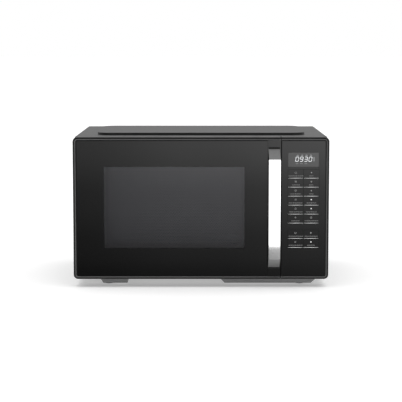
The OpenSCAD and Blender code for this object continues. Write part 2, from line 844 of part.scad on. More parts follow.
module roller(i) {
    color([0.9, 0.9, 0.88]) translate([table_x, table_y, 0]) rotate(30 + 120 * i) difference() {
        rod_x(0, roller_z, roller_track_r - roller_w / 2, roller_track_r + roller_w / 2, roller_r);
        rod_x(0, roller_z, roller_track_r - roller_w, roller_track_r + roller_w, 2.48);
    }
}

outer_cover();
rear_panel();
base_plate();
front_plate();
cavity_liner();
feet();
cover_screws();
rear_spacers();
cord_gland();
waveguide();
waveguide_cover();
magnetron_yoke();
magnetron_anode();
transformer_core();
transformer_windings();
hv_capacitor();
fan_shroud();
fan_motor();
fan_blade();
turntable_motor();
cavity_lamp();
interlock_bracket();
microswitches();
panel_housing();
panel_fascia();
display_window();
control_board();
door_hinges();
door_frame();
door_glass();
door_plate();
door_screen();
choke_cover();
inner_window();
handle_body();
handle_trim();
latch_hooks();
latch_spring();
drive_coupler();
glass_tray();
roller_ring();
for (i = [0:2])
    roller(i);
for (row = [0:7]) {
    key(0, row);
    key(1, row);
}
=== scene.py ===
"""Looks for the countertop microwave oven: materials, display, key print, door screen and studio."""
import math

import bmesh
import bpy
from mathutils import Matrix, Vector


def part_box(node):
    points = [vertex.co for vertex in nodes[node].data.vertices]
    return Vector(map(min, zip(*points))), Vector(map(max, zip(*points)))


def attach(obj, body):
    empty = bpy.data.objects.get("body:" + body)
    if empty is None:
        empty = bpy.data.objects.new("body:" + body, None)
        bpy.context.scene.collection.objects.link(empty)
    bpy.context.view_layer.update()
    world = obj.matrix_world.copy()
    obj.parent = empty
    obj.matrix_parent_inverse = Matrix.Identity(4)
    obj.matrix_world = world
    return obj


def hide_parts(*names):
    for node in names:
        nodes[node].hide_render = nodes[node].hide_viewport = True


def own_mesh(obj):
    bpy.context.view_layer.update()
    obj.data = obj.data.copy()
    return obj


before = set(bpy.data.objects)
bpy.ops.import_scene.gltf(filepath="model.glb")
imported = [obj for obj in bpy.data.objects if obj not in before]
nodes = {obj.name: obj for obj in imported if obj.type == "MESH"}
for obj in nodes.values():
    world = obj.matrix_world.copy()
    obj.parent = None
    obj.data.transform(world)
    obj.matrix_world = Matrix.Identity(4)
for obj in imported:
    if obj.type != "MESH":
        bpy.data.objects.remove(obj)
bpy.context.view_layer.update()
MM = 0.001

# Where things are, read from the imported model
SCREEN_LOW, SCREEN_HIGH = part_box("door_screen")
LENS_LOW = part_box("display_window")[0]
DOOR_LOW, DOOR_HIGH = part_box("door_frame")
SPRING_LOW, SPRING_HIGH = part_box("latch_spring")
TRIM_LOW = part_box("handle_trim")[0]

# The screen reaches this far past the clear window on every side
SCREEN_MARGIN = 9 * MM
WINDOW = (
    SCREEN_LOW.x + SCREEN_MARGIN,
    SCREEN_HIGH.x - SCREEN_MARGIN,
    SCREEN_LOW.z + SCREEN_MARGIN,
    SCREEN_HIGH.z - SCREEN_MARGIN,
)

KEY_ROWS = range(1, 9)
KEY_SIDES = ("left", "right")


# ---- Node-tree helpers ----

# The length of one band of the wave texture at a scale of 1
WAVE_BAND = 0.314


class Shader:
    """A material's node tree with short calls for the nodes used here."""

    def __init__(self, name):
        self.material = bpy.data.materials.new(name)
        self.material.use_nodes = True
        self.tree = self.material.node_tree
        self.tree.nodes.clear()
        self.output = self.node("ShaderNodeOutputMaterial")
        self.coords = self.node("ShaderNodeTexCoord").outputs["Object"]

    def node(self, kind, **settings):
        """Adds a node of a kind, with its settings."""
        made = self.tree.nodes.new(kind)
        for key, value in settings.items():
            setattr(made, key, value)
        return made

    def put(self, socket, value):
        """Sets a socket, from another socket or from a plain value."""
        if isinstance(value, bpy.types.NodeSocket):
            self.tree.links.new(value, socket)
        else:
            socket.default_value = value

    def surface(self, shader):
        """Ends the tree in a shader, and gives the finished material."""
        self.tree.links.new(shader, self.output.inputs["Surface"])
        return self.material

    def stretched(self, scale, turn=(0, 0, 0)):
        """Object coordinates scaled along each axis, then turned."""
        mapping = self.node("ShaderNodeMapping")
        self.put(mapping.inputs["Vector"], self.coords)
        mapping.inputs["Scale"].default_value = scale
        mapping.inputs["Rotation"].default_value = turn
        return mapping.outputs["Vector"]

    def noise(self, size, detail=3.0, roughness=0.55, vector=None):
        """Noise whose blotches are about size metres across, from 0 to 1."""
        made = self.node("ShaderNodeTexNoise")
        self.put(made.inputs["Vector"], vector or self.coords)
        made.inputs["Scale"].default_value = 1.0 / size
        made.inputs["Detail"].default_value = detail
        made.inputs["Roughness"].default_value = roughness
        return made.outputs["Fac"]

    def cells(self, size, output="Distance"):
        """Irregular cells about size metres across: the distance to each one's middle, or its Color."""
        made = self.node("ShaderNodeTexVoronoi")
        self.put(made.inputs["Vector"], self.coords)
        made.inputs["Scale"].default_value = 1.0 / size
        return made.outputs[output]

    def bands(self, pitch, axis, distortion=0.0):
        """Even bands across an axis, one every pitch metres."""
        made = self.node("ShaderNodeTexWave", wave_type="BANDS", bands_direction=axis)
        self.put(made.inputs["Vector"], self.coords)
        made.inputs["Scale"].default_value = WAVE_BAND / pitch
        made.inputs["Distortion"].default_value = distortion
        return made.outputs["Fac"]

    def span(self, value, low, high, to_low=0.0, to_high=1.0):
        """Maps low..high onto to_low..to_high, held at the ends."""
        made = self.node("ShaderNodeMapRange")
        self.put(made.inputs["Value"], value)
        limits = {"From Min": low, "From Max": high, "To Min": to_low, "To Max": to_high}
        for name, number in limits.items():
            made.inputs[name].default_value = number
        return made.outputs["Result"]

    def mixed(self, factor, a, b):
        """A colour mix of a and b."""
        made = self.node("ShaderNodeMix", data_type="RGBA")
        self.put(made.inputs["Factor"], factor)
        colours = [s for s in made.inputs if s.type == "RGBA"]
        self.put(colours[0], a)
        self.put(colours[1], b)
        return [s for s in made.outputs if s.type == "RGBA"][0]

    def math(self, operation, a, b):
        """Two values joined by a sum, product or the like."""
        made = self.node("ShaderNodeMath", operation=operation)
        self.put(made.inputs[0], a)
        self.put(made.inputs[1], b)
        return made.outputs[0]

    def bump(self, height, distance, strength):
        """A normal that rises by distance metres where height is 1."""
        made = self.node("ShaderNodeBump")
        self.put(made.inputs["Height"], height)
        made.inputs["Distance"].default_value = distance
        made.inputs["Strength"].default_value = strength
        return made.outputs["Normal"]

    def principled(self, **values):
        """A Principled shader; each keyword is a socket's name with _ for a space."""
        made = self.node("ShaderNodeBsdfPrincipled")
        for key, value in values.items():
            self.put(made.inputs[key.replace("_", " ")], value)
        return made.outputs["BSDF"]


def rgb(r, g, b):
    """An opaque colour."""
    return (r, g, b, 1.0)


def grey(value, warmth=0.0):
    """An opaque grey, redder where warmth is above 0 and bluer below."""
    return (value * (1 + warmth), value, value * (1 - warmth), 1.0)


# ---- Materials ----

def moulded_plastic(name, colour, roughness, grain=0.35 * MM, depth=0.012 * MM, specular=0.5):
    """Injection-moulded plastic with a fine spark-eroded grain."""
    s = Shader(name)
    fine = s.noise(grain, 4.0)
    broad = s.noise(38 * MM, 2.0)
    tint = s.mixed(broad, tuple(0.88 * c for c in colour[:3]) + (1.0,), colour)
    return s.surface(s.principled(
        Base_Color=tint,
        Roughness=s.span(broad, 0.3, 0.7, roughness - 0.04, roughness + 0.05),
        Specular_IOR_Level=specular,
        Normal=s.bump(fine, depth, 0.6),
    ))


def powder_coat():
    """Satin black powder coat with fine orange peel."""
    s = Shader("powder_coat")
    peel = s.noise(0.9 * MM, 4.0, 0.6)
    broad = s.noise(70 * MM, 2.0)
    return s.surface(s.principled(
        Base_Color=s.mixed(broad, grey(0.011), grey(0.014)),
        Roughness=s.span(peel, 0.3, 0.7, 0.40, 0.52),
        Specular_IOR_Level=0.5,
        Normal=s.bump(peel, 0.05 * MM, 0.5),
    ))


def steel(name, shade, roughness, spangle=0.0, brushed=None):
    """Sheet steel: spangle is the size of zinc flakes, brushed the axis of the drawn lines."""
    s = Shader(name)
    if spangle:
        flakes = s.cells(spangle, output="Color")
        tone = s.span(flakes, 0.0, 1.0)
    elif brushed is not None:
        scale = [1.0, 1.0, 1.0]
        scale[brushed] = 0.02
        tone = s.noise(0.5 * MM, 3.0, vector=s.stretched(scale))
    else:
        tone = s.noise(4 * MM, 4.0)
    stain = s.noise(55 * MM, 3.0)
    wear = s.math("MULTIPLY", stain, 0.12)
    return s.surface(s.principled(
        Base_Color=s.mixed(tone, grey(shade * 0.86, -0.01), grey(shade, -0.01)),
        Metallic=1.0,
        Roughness=s.math("ADD", s.span(tone, 0.0, 1.0, roughness - 0.06, roughness + 0.06), wear),
        Normal=s.bump(tone, 0.01 * MM, 0.3),
    ))


def cavity_enamel():
    """Fired grey enamel with fine light specks."""
    s = Shader("cavity_enamel")
    specks = s.span(s.cells(2.6 * MM), 0.10, 0.16, 1.0, 0.0)
    broad = s.noise(60 * MM, 2.0)
    base = s.mixed(broad, grey(0.20), grey(0.24))
    return s.surface(s.principled(
        Base_Color=s.mixed(specks, base, grey(0.42)),
        Roughness=0.32,
        Coat_Weight=0.3,
        Coat_Roughness=0.15,
        Normal=s.bump(s.noise(7 * MM, 2.0), 0.05 * MM, 0.4),
    ))


def gloss_black(name, shade):
    """Black gloss surface with a very faint waviness."""
    s = Shader(name)
    wave = s.noise(90 * MM, 1.0)
    dust = s.span(s.noise(0.8 * MM, 5.0, 0.7), 0.55, 0.75)
    return s.surface(s.principled(
        Base_Color=s.mixed(dust, grey(shade), grey(shade * 1.6 + 0.002)),
        Roughness=s.span(wave, 0.3, 0.7, 0.04, 0.065),
        Specular_IOR_Level=0.5,
        Normal=s.bump(wave, 0.02 * MM, 0.25),
    ))


def door_glass():
    """Tempered glass, printed black on the back all round a tinted window."""
    s = Shader("door_glass")
    split = s.node("ShaderNodeSeparateXYZ")
    s.put(split.inputs[0], s.coords)
    x, z = split.outputs["X"], split.outputs["Z"]
    edge = 0.15 * MM
    x0, x1, z0, z1 = WINDOW
    inside = s.span(x, x0 - edge, x0 + edge)
    inside = s.math("MULTIPLY", inside, s.span(x, x1 - edge, x1 + edge, 1.0, 0.0))
    inside = s.math("MULTIPLY", inside, s.span(z, z0 - edge, z0 + edge))
    inside = s.math("MULTIPLY", inside, s.span(z, z1 - edge, z1 + edge, 1.0, 0.0))
    wave = s.noise(90 * MM, 1.0)
    normal = s.bump(wave, 0.02 * MM, 0.25)
    dust = s.span(s.noise(0.8 * MM, 5.0, 0.7), 0.55, 0.75)
    printed = s.principled(
        Base_Color=s.mixed(dust, grey(0.001), grey(0.003)),
        Roughness=s.span(wave, 0.3, 0.7, 0.03, 0.05),
        Specular_IOR_Level=0.5,
        Normal=normal,
    )
    tinted = s.node("ShaderNodeBsdfTransparent")
    tinted.inputs["Color"].default_value = rgb(0.72, 0.72, 0.74)
    shine = s.node("ShaderNodeBsdfGlossy")
    shine.inputs["Color"].default_value = rgb(1, 1, 1)
    shine.inputs["Roughness"].default_value = 0.03
    s.put(shine.inputs["Normal"], normal)
    fresnel = s.node("ShaderNodeFresnel")
    fresnel.inputs["IOR"].default_value = 1.5
    clear = s.node("ShaderNodeMixShader")
    s.put(clear.inputs[0], fresnel.outputs[0])
    s.put(clear.inputs[1], tinted.outputs[0])
    s.put(clear.inputs[2], shine.outputs[0])
    whole = s.node("ShaderNodeMixShader")
    s.put(whole.inputs[0], inside)
    s.put(whole.inputs[1], printed)
    s.put(whole.inputs[2], clear.outputs[0])
    return s.surface(whole.outputs[0])


def clear_film():
    """Thin clear film."""
    s = Shader("clear_film")
    film = s.node("ShaderNodeBsdfTransparent")
    film.inputs["Color"].default_value = rgb(0.93, 0.94, 0.94)
    shine = s.node("ShaderNodeBsdfGlossy")
    shine.inputs["Roughness"].default_value = 0.12
    s.put(shine.inputs["Normal"], s.bump(s.noise(30 * MM, 2.0), 0.05 * MM, 0.3))
    fresnel = s.node("ShaderNodeFresnel")
    fresnel.inputs["IOR"].default_value = 1.45
    both = s.node("ShaderNodeMixShader")
    s.put(both.inputs[0], fresnel.outputs[0])
    s.put(both.inputs[1], film.outputs[0])
    s.put(both.inputs[2], shine.outputs[0])
    return s.surface(both.outputs[0])


def chrome():
    """Polished chrome plating with faint wiping marks."""
    s = Shader("chrome")
    wipe = s.noise(1.5 * MM, 3.0, vector=s.stretched((1.0, 1.0, 0.06)))
    return s.surface(s.principled(
        Base_Color=s.mixed(wipe, grey(0.86), grey(0.90)),
        Metallic=1.0,
        Roughness=s.span(wipe, 0.3, 0.7, 0.05, 0.09),
        Normal=s.bump(wipe, 0.002 * MM, 0.2),
    ))


def satin_chrome_painted_reflection():
    """Finely brushed chrome on the handle's sloped ends; its dull grey colour is a painted reflection,
    standing in for the grey that the polished chrome ends mirror.
    """
    s = Shader("satin_chrome_painted_reflection")
    lines = s.noise(0.5 * MM, 3.0, vector=s.stretched((0.02, 1.0, 1.0)))
    return s.surface(s.principled(
        Base_Color=s.mixed(lines, grey(0.23), grey(0.28)),
        Metallic=0.5,
        Roughness=s.span(lines, 0.3, 0.7, 0.26, 0.36),
        Normal=s.bump(lines, 0.003 * MM, 0.2),
    ))


def tray_glass():
    """Pressed clear glass."""
    s = Shader("tray_glass")
    ripple = s.noise(14 * MM, 2.0)
    return s.surface(s.principled(
        Base_Color=rgb(0.90, 0.97, 0.95),
        Roughness=0.03,
        IOR=1.5,
        Transmission_Weight=1.0,
        Normal=s.bump(ripple, 0.05 * MM, 0.3),
    ))


def mica():
    """Pressed mica sheet, in overlapping silvery flakes."""
    s = Shader("mica")
    flakes = s.cells(7 * MM, output="Color")
    fine = s.noise(1.5 * MM, 4.0)
    return s.surface(s.principled(
        Base_Color=s.mixed(flakes, rgb(0.42, 0.36, 0.26), rgb(0.62, 0.56, 0.44)),
        Roughness=s.span(fine, 0.3, 0.7, 0.3, 0.5),
        Normal=s.bump(fine, 0.05 * MM, 0.4),
    ))


def copper_wire():
    """Enamelled copper wire, wound in layers along Z, darker into the groove between turns as a painted
    shade.
    """
    s = Shader("copper_wire")
    turns = s.bands(1.1 * MM, "Z", 0.4)
    return s.surface(s.principled(
        # Each turn's colour darkens towards the groove between turns: painted shade
        Base_Color=s.mixed(turns, rgb(0.20, 0.07, 0.03), rgb(0.62, 0.26, 0.10)),
        Metallic=0.7,
        Roughness=0.32,
        Normal=s.bump(turns, 0.4 * MM, 0.9),
    ))


def copper_body():
    """Oxidised copper anode."""
    s = Shader("copper_body")
    stain = s.noise(11 * MM, 4.0)
    return s.surface(s.principled(
        Base_Color=s.mixed(stain, rgb(0.50, 0.20, 0.11), rgb(0.76, 0.40, 0.26)),
        Metallic=1.0,
        Roughness=s.span(stain, 0.3, 0.7, 0.25, 0.45),
    ))


def laminations():
    """Varnished stack of core plates, one every half millimetre along Y."""
    s = Shader("laminations")
    plates = s.bands(0.5 * MM, "Y")
    varnish = s.noise(16 * MM, 3.0)
    return s.surface(s.principled(
        Base_Color=s.mixed(plates, grey(0.06), s.mixed(varnish, grey(0.20), rgb(0.26, 0.22, 0.18))),
        Metallic=0.8,
        Roughness=0.42,
        Normal=s.bump(plates, 0.1 * MM, 0.6),
    ))


def circuit_board():
    """Green solder mask over copper tracks."""
    s = Shader("circuit_board")
    tracks = s.node("ShaderNodeTexBrick")
    s.put(tracks.inputs["Vector"], s.stretched((1, 1, 1), (math.radians(90), 0, 0)))
    tracks.inputs["Scale"].default_value = 120.0
    tracks.inputs["Mortar Size"].default_value = 0.09
    tracks.inputs["Color1"].default_value = rgb(0.010, 0.085, 0.035)
    tracks.inputs["Color2"].default_value = rgb(0.014, 0.105, 0.045)
    tracks.inputs["Mortar"].default_value = rgb(0.05, 0.20, 0.08)
    return s.surface(s.principled(
        Base_Color=tracks.outputs["Color"],
        Roughness=0.28,
        Normal=s.bump(tracks.outputs["Fac"], 0.05 * MM, 0.5),
    ))


def printed_ink_with_painted_glow(name, shade, glow):
    """Pale print on the keys, with a painted glow that brightens it though no lamp lights it from
    behind.
    """
    s = Shader(name)
    speckle = s.noise(0.4 * MM, 3.0)
    return s.surface(s.principled(
        Base_Color=s.mixed(speckle, grey(shade * 0.9), grey(shade)),
        Roughness=0.45,
        # The emission is a painted glow on the print
        Emission_Color=grey(1.0),
        Emission_Strength=glow,
    ))


def lit_segment(name, strength):
    """A lit segment of the display, unevenly tinted between bluish and plain white."""
    s = Shader(name)
    glow = s.noise(1.2 * MM, 1.0)
    return s.surface(s.principled(
        Base_Color=grey(0.10),
        Roughness=0.4,
        Emission_Color=s.mixed(glow, rgb(0.90, 0.95, 1.0), rgb(1.0, 1.0, 1.0)),
        Emission_Strength=strength,
    ))


def smoked_lens():
    """Smoked acrylic over the display."""
    s = Shader("smoked_lens")
    haze = s.noise(9 * MM, 2.0)
    return s.surface(s.principled(
        Base_Color=s.mixed(haze, grey(0.060), grey(0.068)),
        Roughness=s.span(haze, 0.3, 0.7, 0.05, 0.08),
        Specular_IOR_Level=0.5,
    ))


def lamp_glass():
    """Frosted bulb."""
    s = Shader("lamp_glass")
    return s.surface(s.principled(
        Base_Color=s.mixed(s.noise(3 * MM), rgb(0.9, 0.86, 0.76), rgb(1.0, 0.97, 0.9)),
        Roughness=0.2,
        Transmission_Weight=0.4,
        Emission_Color=rgb(1.0, 0.9, 0.7),
        Emission_Strength=0.05,
    ))


M = {
    "powder_coat": powder_coat(),
    "rim_plastic": moulded_plastic("rim_plastic", grey(0.010), 0.42, specular=0.35),
    # A lighter grey copy of the rim plastic, a painted highlight on the rims' inward slopes
    "rim_painted_highlight": moulded_plastic("rim_painted_highlight", grey(0.145), 0.36),
    "dark_plastic": moulded_plastic("dark_plastic", grey(0.020), 0.55, 0.7 * MM, 0.03 * MM),
    "foot_rubber": moulded_plastic("foot_rubber", grey(0.03), 0.7, 0.9 * MM, 0.05 * MM),
    "white_plastic": moulded_plastic("white_plastic", rgb(0.62, 0.61, 0.58), 0.42),
    "brown_plastic": moulded_plastic("brown_plastic", rgb(0.30, 0.25, 0.17), 0.5),
    "blue_film": moulded_plastic("blue_film", rgb(0.03, 0.12, 0.30), 0.3),
    "zinc_sheet": steel("zinc_sheet", 0.62, 0.34, spangle=9 * MM),
    "base_paint": moulded_plastic("base_paint", grey(0.36), 0.5, 0.8 * MM, 0.03 * MM),
    "screw_steel": steel("screw_steel", 0.68, 0.28, brushed=1),
    "spring_steel": steel("spring_steel", 0.60, 0.25, brushed=2),
    "drawn_aluminium": steel("drawn_aluminium", 0.78, 0.30, brushed=2),
    "fin_aluminium": steel("fin_aluminium", 0.80, 0.35),
    "core_steel": laminations(),
    "motor_steel": steel("motor_steel", 0.45, 0.38),
    "enamel": cavity_enamel(),
    "door_paint": moulded_plastic("door_paint", grey(0.030), 0.45, grain=0.6 * MM),
    "screen_paint": moulded_plastic("screen_paint", grey(0.32), 0.5, grain=0.3 * MM),
    "panel_gloss": gloss_black("panel_gloss", 0.0015),
    "key_gloss": gloss_black("key_gloss", 0.002),
    "door_glass": door_glass(),
    "clear_film": clear_film(),
    "chrome": chrome(),
    "satin_chrome_painted_reflection": satin_chrome_painted_reflection(),
    "tray_glass": tray_glass(),
    "mica": mica(),
    "copper_wire": copper_wire(),
    "copper_body": copper_body(),
    "circuit_board": circuit_board(),
    "smoked_lens": smoked_lens(),
    "lamp_glass": lamp_glass(),
    "underline": printed_ink_with_painted_glow("underline", 0.6, 0.50),
    "label": printed_ink_with_painted_glow("label", 0.25, 0.08),
    "icon": printed_ink_with_painted_glow("icon", 0.30, 0.06),
    "icon_bright": printed_ink_with_painted_glow("icon_bright", 0.6, 0.40),
    "digit": lit_segment("digit", 0.90),
    "symbol": lit_segment("symbol", 0.40),
    "dim_symbol": lit_segment("dim_symbol", 0.13),
}

NODE_MATERIALS = {
    "outer_cover": "powder_coat", "rear_panel": "powder_coat", "base_plate": "base_paint",
    "front_plate": "powder_coat", "cavity_liner": "enamel", "feet": "foot_rubber",
    "cover_screws": "screw_steel", "rear_spacers": "dark_plastic", "cord_gland": "dark_plastic",
    "waveguide": "zinc_sheet", "waveguide_cover": "mica", "magnetron_yoke": "zinc_sheet",
    "magnetron_anode": "copper_body", "transformer_core": "core_steel",
    "transformer_windings": "copper_wire", "hv_capacitor": "drawn_aluminium",
    "fan_shroud": "dark_plastic", "fan_motor": "motor_steel", "fan_blade": "white_plastic",
    "turntable_motor": "zinc_sheet", "cavity_lamp": "white_plastic",
    "interlock_bracket": "white_plastic", "microswitches": "dark_plastic",
    "panel_housing": "rim_plastic", "panel_fascia": "panel_gloss", "display_window": "smoked_lens",
    "control_board": "circuit_board", "door_hinges": "zinc_sheet", "door_frame": "rim_plastic",
    "door_glass": "door_glass", "door_plate": "door_paint", "door_screen": "screen_paint",
    "choke_cover": "dark_plastic", "inner_window": "clear_film", "handle_body": "rim_plastic",
    "handle_trim": "chrome", "latch_hooks": "white_plastic", "latch_spring": "spring_steel",
    "drive_coupler": "white_plastic", "glass_tray": "tray_glass", "roller_ring": "white_plastic",
    "roller_1": "white_plastic", "roller_2": "white_plastic", "roller_3": "white_plastic",
}

# Softened edges, in millimetres, on the nodes whose edges show
EDGE_RADII = {
    "outer_cover": 0.4, "door_frame": 0.3, "panel_housing": 0.3, "door_glass": 0.3,
    "panel_fascia": 0.2, "handle_trim": 0.3, "handle_body": 0.4, "base_plate": 0.5, "feet": 0.4,
    "rear_spacers": 0.4, "cord_gland": 0.5, "choke_cover": 0.4, "display_window": 0.15,
    "cover_screws": 0.15, "glass_tray": 0.3, "roller_ring": 0.4, "drive_coupler": 0.4,
    "latch_hooks": 0.4, "door_hinges": 0.3,
}

for side in KEY_SIDES:
    for row in KEY_ROWS:
        NODE_MATERIALS[f"key_{side}_{row}"] = "key_gloss"
        EDGE_RADII[f"key_{side}_{row}"] = 0.15


# ---- Materials onto the CAD nodes ----

def edge_angle(name):
    """The least turn between two faces that is an edge, which is small on the flat-sided handle."""
    return math.radians(10 if name.startswith("handle") else 32)


def dress(name, material):
    """Gives a CAD node its material, smooth shading and softened edges."""
    obj = nodes[name]
    obj.data.materials.clear()
    obj.data.materials.append(M[material])
    obj.data.polygons.foreach_set("use_smooth", [True] * len(obj.data.polygons))
    radius = EDGE_RADII.get(name)
    if radius:
        # The imported normals belong to the sharp edges, so new ones are made after softening
        obj.data.attributes.remove(obj.data.attributes["custom_normal"])
        weld = obj.modifiers.new("weld", "WELD")
        weld.merge_threshold = 1e-6
        bevel = obj.modifiers.new("edges", "BEVEL")
        bevel.width = radius * MM
        bevel.segments = 2
        bevel.limit_method = "ANGLE"
        bevel.angle_limit = edge_angle(name)
        split = obj.modifiers.new("creases", "EDGE_SPLIT")
        split.split_angle = math.radians(40)
        weighted = obj.modifiers.new("normals", "WEIGHTED_NORMAL")
        weighted.keep_sharp = True


def paint_where(name, material, inside):
    """Gives another material to a CAD node's faces whose centre passes the test."""
    obj = nodes[name]
    obj.data.materials.append(M[material])
    slot = len(obj.data.materials) - 1
    for face in obj.data.polygons:
        if inside(face):
            face.material_index = slot


def on_rim_bevel(face):
    """Whether a face belongs to the inward slope of the raised rim round the front, which gets a
    lighter grey as a painted highlight.
    """
    rim_w, rim_d = 6 * MM, 5 * MM
    middle = Vector((0, 0, (DOOR_LOW.z + DOOR_HIGH.z) / 2))
    inward = middle - face.center
    half_x, half_z = -DOOR_LOW.x, (DOOR_HIGH.z - DOOR_LOW.z) / 2
    across = Vector((inward.x / half_x ** 2, 0, inward.z / half_z ** 2))
    slopes = -0.92 < face.normal.y < -0.35 and face.normal.dot(across) > 0
    at_rim = abs(inward.x) > half_x - rim_w or abs(inward.z) > half_z - rim_w
    return slopes and at_rim and face.center.y < DOOR_LOW.y + rim_d


def paint_inner_parts():
    """The parts of one node that are of different stuff, inside the oven."""
    # The board's switches and display block are in front of it, its relays and capacitors behind
    front_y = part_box("control_board")[0].y + 9.9 * MM
    back_y = front_y + 1.8 * MM
    relays_z = 0.14
    paint_where("control_board", "dark_plastic", lambda f: f.center.y < front_y)
    paint_where("control_board", "brown_plastic",
                lambda f: f.center.y > back_y and f.center.z > relays_z)
    paint_where("control_board", "blue_film",
                lambda f: f.center.y > back_y and f.center.z <= relays_z)
    bulb_r, anode_r, terminal_l = 8.5 * MM, 19 * MM, 5.2 * MM
    low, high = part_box("cavity_lamp")
    bulb = (low + high) / 2
    paint_where("cavity_lamp", "lamp_glass", lambda f: (f.center - bulb).length < bulb_r)
    low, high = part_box("magnetron_anode")
    axis = (low + high) / 2
    paint_where("magnetron_anode", "fin_aluminium",
                lambda f: math.hypot(f.center.y - axis.y, f.center.z - axis.z) > anode_r)
    terminals_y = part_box("microswitches")[1].y - terminal_l
    paint_where("microswitches", "fin_aluminium", lambda f: f.center.y > terminals_y)


def dress_all():
    """Gives every CAD node its material, and some of their faces a second one."""
    for name, material in NODE_MATERIALS.items():
        dress(name, material)
    paint_inner_parts()
    # The inward slopes of the door's and panel's rims get the lighter grey: a painted highlight along
    # the bevel
    for name in ("door_frame", "panel_housing"):
        paint_where(name, "rim_painted_highlight", on_rim_bevel)
    # The handle's sloped ends get the dull grey chrome, a painted reflection in place of what polished
    # chrome would mirror there
    paint_where("handle_trim", "satin_chrome_painted_reflection",
                lambda f: f.normal.y < -0.5 and abs(f.normal.z) > 0.5)
    # Under the handle the door's front has no glass, and is as glossy as it
    strip_x, front_y = TRIM_LOW.x - 3 * MM, DOOR_LOW.y + 1.5 * MM
    paint_where("door_frame", "panel_gloss",
                lambda f: f.normal.y < -0.99 and f.center.x > strip_x and f.center.y < front_y)


# ---- New pieces ----

def solid(name, mesh_builder, materials, body, replaces=()):
    """Makes a mesh piece from a bmesh that mesh_builder fills, and rides it on a body."""
    bm = bmesh.new()
    mesh_builder(bm)
    bmesh.ops.recalc_face_normals(bm, faces=bm.faces)
    mesh = bpy.data.meshes.new(name)
    bm.to_mesh(mesh)
    bm.free()
    obj = bpy.data.objects.new(name, mesh)
    bpy.context.scene.collection.objects.link(obj)
    for material in materials:
        mesh.materials.append(M[material])
    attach(obj, body)
    if replaces:
        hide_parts(*replaces)
    return obj


def plate(bm, outline, y0, y1, material=0):
    """A flat plate: an outline in X and Z, from depth y0 back to y1."""
    front = [bm.verts.new((x, y0, z)) for x, z in outline]
    back = [bm.verts.new((x, y1, z)) for x, z in outline]
    faces = [bm.faces.new(front), bm.faces.new(back[::-1])]
    count = len(outline)
    for i in range(count):
        j = (i + 1) % count
        faces.append(bm.faces.new((front[i], back[i], back[j], front[j])))
    for face in faces:
        face.material_index = material


def perforated(bm):
    """The door screen: staggered round holes inside a plain border."""
    pitch = 3.2 * MM
    row_h = pitch * math.sqrt(3) / 2
    hole_r = 1.05 * MM
    rim = [
        (hole_r * math.cos(math.radians(t)), hole_r * math.sin(math.radians(t)))
        for t in range(-150, 151, 60)
    ]
    x0, x1, z0, z1 = WINDOW
    columns = int((x1 - x0) / pitch)
    rows = int((z1 - z0) / row_h)
    left = (x0 + x1 - columns * pitch) / 2
    low = (z0 + z1 - rows * row_h) / 2
    right, high = left + columns * pitch, low + rows * row_h
    y = SCREEN_LOW.y
    made = {}

    def vertex(x, z):
        """The vertex at x, z, which neighbouring faces share."""
        key = (round(x * 1e7), round(z * 1e7))
        if key not in made:
            made[key] = bm.verts.new((x, y, z))
        return made[key]

    for row in range(rows):
        za, zb = low + row * row_h, low + (row + 1) * row_h
        shift = pitch / 2 if row % 2 else 0.0
        count = columns - 1 if row % 2 else columns
        for column in range(count):
            xa = left + shift + column * pitch
            xm, xb = xa + pitch / 2, xa + pitch
            zm = (za + zb) / 2
            around = ((xa, za), (xm, za), (xb, za), (xb, zb), (xm, zb), (xa, zb))
            outer = [vertex(*p) for p in around]
            hole = [bm.verts.new((xm + dx, y, zm + dz)) for dx, dz in rim]
            for i in range(6):
                j = (i + 1) % 6
                bm.faces.new((outer[i], outer[j], hole[j], hole[i]))
        if row % 2:
            for xa in (left, right - pitch / 2):
                xb = xa + pitch / 2
                bm.faces.new([vertex(*p) for p in ((xa, za), (xb, za), (xb, zb), (xa, zb))])
    a, b, c, d = [
        bm.verts.new((x, y, z))
        for x, z in ((SCREEN_LOW.x, SCREEN_LOW.z), (SCREEN_HIGH.x, SCREEN_LOW.z),
                     (SCREEN_HIGH.x, SCREEN_HIGH.z), (SCREEN_LOW.x, SCREEN_HIGH.z))
    ]
    steps = [left + i * pitch / 2 for i in range(2 * columns + 1)]
    levels = [low + i * row_h for i in range(rows + 1)]
    bottom = [vertex(x, low) for x in steps]
    top = [vertex(x, high) for x in steps]
    bm.faces.new([a, b] + bottom[::-1])
    bm.faces.new([c, d] + top)
    bm.faces.new([b, c] + [vertex(right, z) for z in levels[::-1]])
    bm.faces.new([d, a] + [vertex(left, z) for z in levels])
    flat = bm.faces[:]
    copied = bmesh.ops.extrude_face_region(bm, geom=flat)
    moved = [g for g in copied["geom"] if isinstance(g, bmesh.types.BMVert)]
    bmesh.ops.translate(bm, verts=moved, vec=(0, SCREEN_HIGH.y - SCREEN_LOW.y, 0))


# Which of its seven segments each digit lights: top, top right, low right, bottom, low left,
# top left, middle
SEGMENTS = {"0": (1, 1, 1, 1, 1, 1, 0), "9": (1, 1, 1, 1, 0, 1, 1), "3": (1, 1, 1, 1, 0, 0, 1)}
SEGMENT_ENDS = (
    ("tl", "tr"), ("tr", "mr"), ("mr", "br"), ("bl", "br"), ("ml", "bl"), ("tl", "ml"), ("ml", "mr"),
)
DIGIT_W = 5.2 * MM
DIGIT_H = 8.4 * MM
DIGIT_PITCH = 8.3 * MM
STROKE = 1.05 * MM
SEGMENT_GAP = 0.12 * MM
SLANT = math.tan(math.radians(9))
GLOW_T = 0.12 * MM

# The first digit's place on the lens, from its lower left corner
FIRST_DIGIT_X = 13.4 * MM
FIRST_DIGIT_Z = 10.1 * MM


def bar_outline(start, end, width):
    """A segment with pointed ends from one point to another."""
    along = (end - start).normalized()
    across = Vector((-along.y, along.x)) * width / 2
    tip = along * width / 2
    return [
        start, start + tip - across, end - tip - across,
        end, end - tip + across, start + tip + across,
    ]


